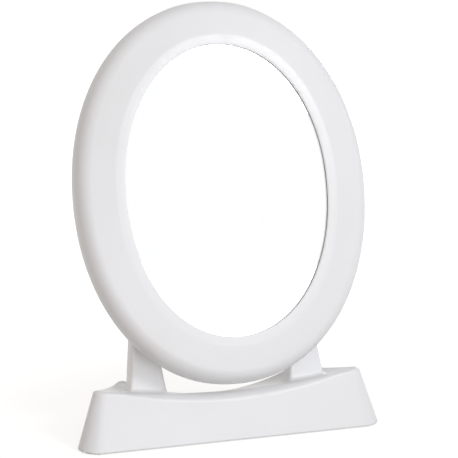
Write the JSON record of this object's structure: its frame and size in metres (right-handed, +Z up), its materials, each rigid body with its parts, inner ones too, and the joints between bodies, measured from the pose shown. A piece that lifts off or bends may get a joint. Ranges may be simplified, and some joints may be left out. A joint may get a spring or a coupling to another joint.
{
  "type": "countertop mirror",
  "caption": "Oval mirror in a wide rounded bezel that tilts between two posts on a long, scooped countertop base.",
  "frame": {"origin": "on the underside of the non-slip pad, midway between the ends of the base and 25 mm behind its front foot", "axes": "+Z up, +X to the viewer's right when facing the glass, -Y is the way the glass faces"},
  "size_m": [0.2686, 0.1103, 0.369],
  "materials": {
    "white_plastic": "satin moulded",
    "cover_plastic": "fine texture",
    "grey_plastic": "matte",
    "dark_rubber": "matte",
    "ballast_iron": "as cast",
    "zinc_steel": "zinc plated",
    "bracket_steel": "powder coated",
    "spring_steel": "oiled",
    "nylon": "matte",
    "gasket_foam": "matte",
    "board": "hardboard",
    "mirror": "silvered"
  },
  "bodies": {
    "base": {"base_shell": "white_plastic", "base_plate": "grey_plastic", "base_pad": "dark_rubber", "base_plate_screws": "zinc_steel", "ballast_screws": "zinc_steel", "ballast_bar_left": "ballast_iron", "ballast_bar_right": "ballast_iron", "pivot_bush_left": "nylon", "pivot_bush_right": "nylon"},
    "mirror_head": {"front_bezel": "white_plastic", "glass_gasket": "gasket_foam", "mirror_glass": "mirror", "backing_board": "board", "rear_cover": "cover_plastic", "cover_screws": "zinc_steel", "pivot_bracket_left": "bracket_steel", "bracket_screws_left": "zinc_steel", "pivot_bolt_left": "zinc_steel", "pivot_nut_left": "zinc_steel", "spring_washer_left": "spring_steel", "friction_washers_left": "nylon", "pivot_bracket_right": "bracket_steel", "bracket_screws_right": "zinc_steel", "pivot_bolt_right": "zinc_steel", "pivot_nut_right": "zinc_steel", "spring_washer_right": "spring_steel", "friction_washers_right": "nylon"}
  },
  "joints": [
    {"name": "mirror_tilt", "type": "hinge", "parent": "base", "child": "mirror_head", "pos_m": [0, 0.0245, 0.0975], "axis": [1, 0, 0], "range_deg": [-12, 10]}
  ]
}
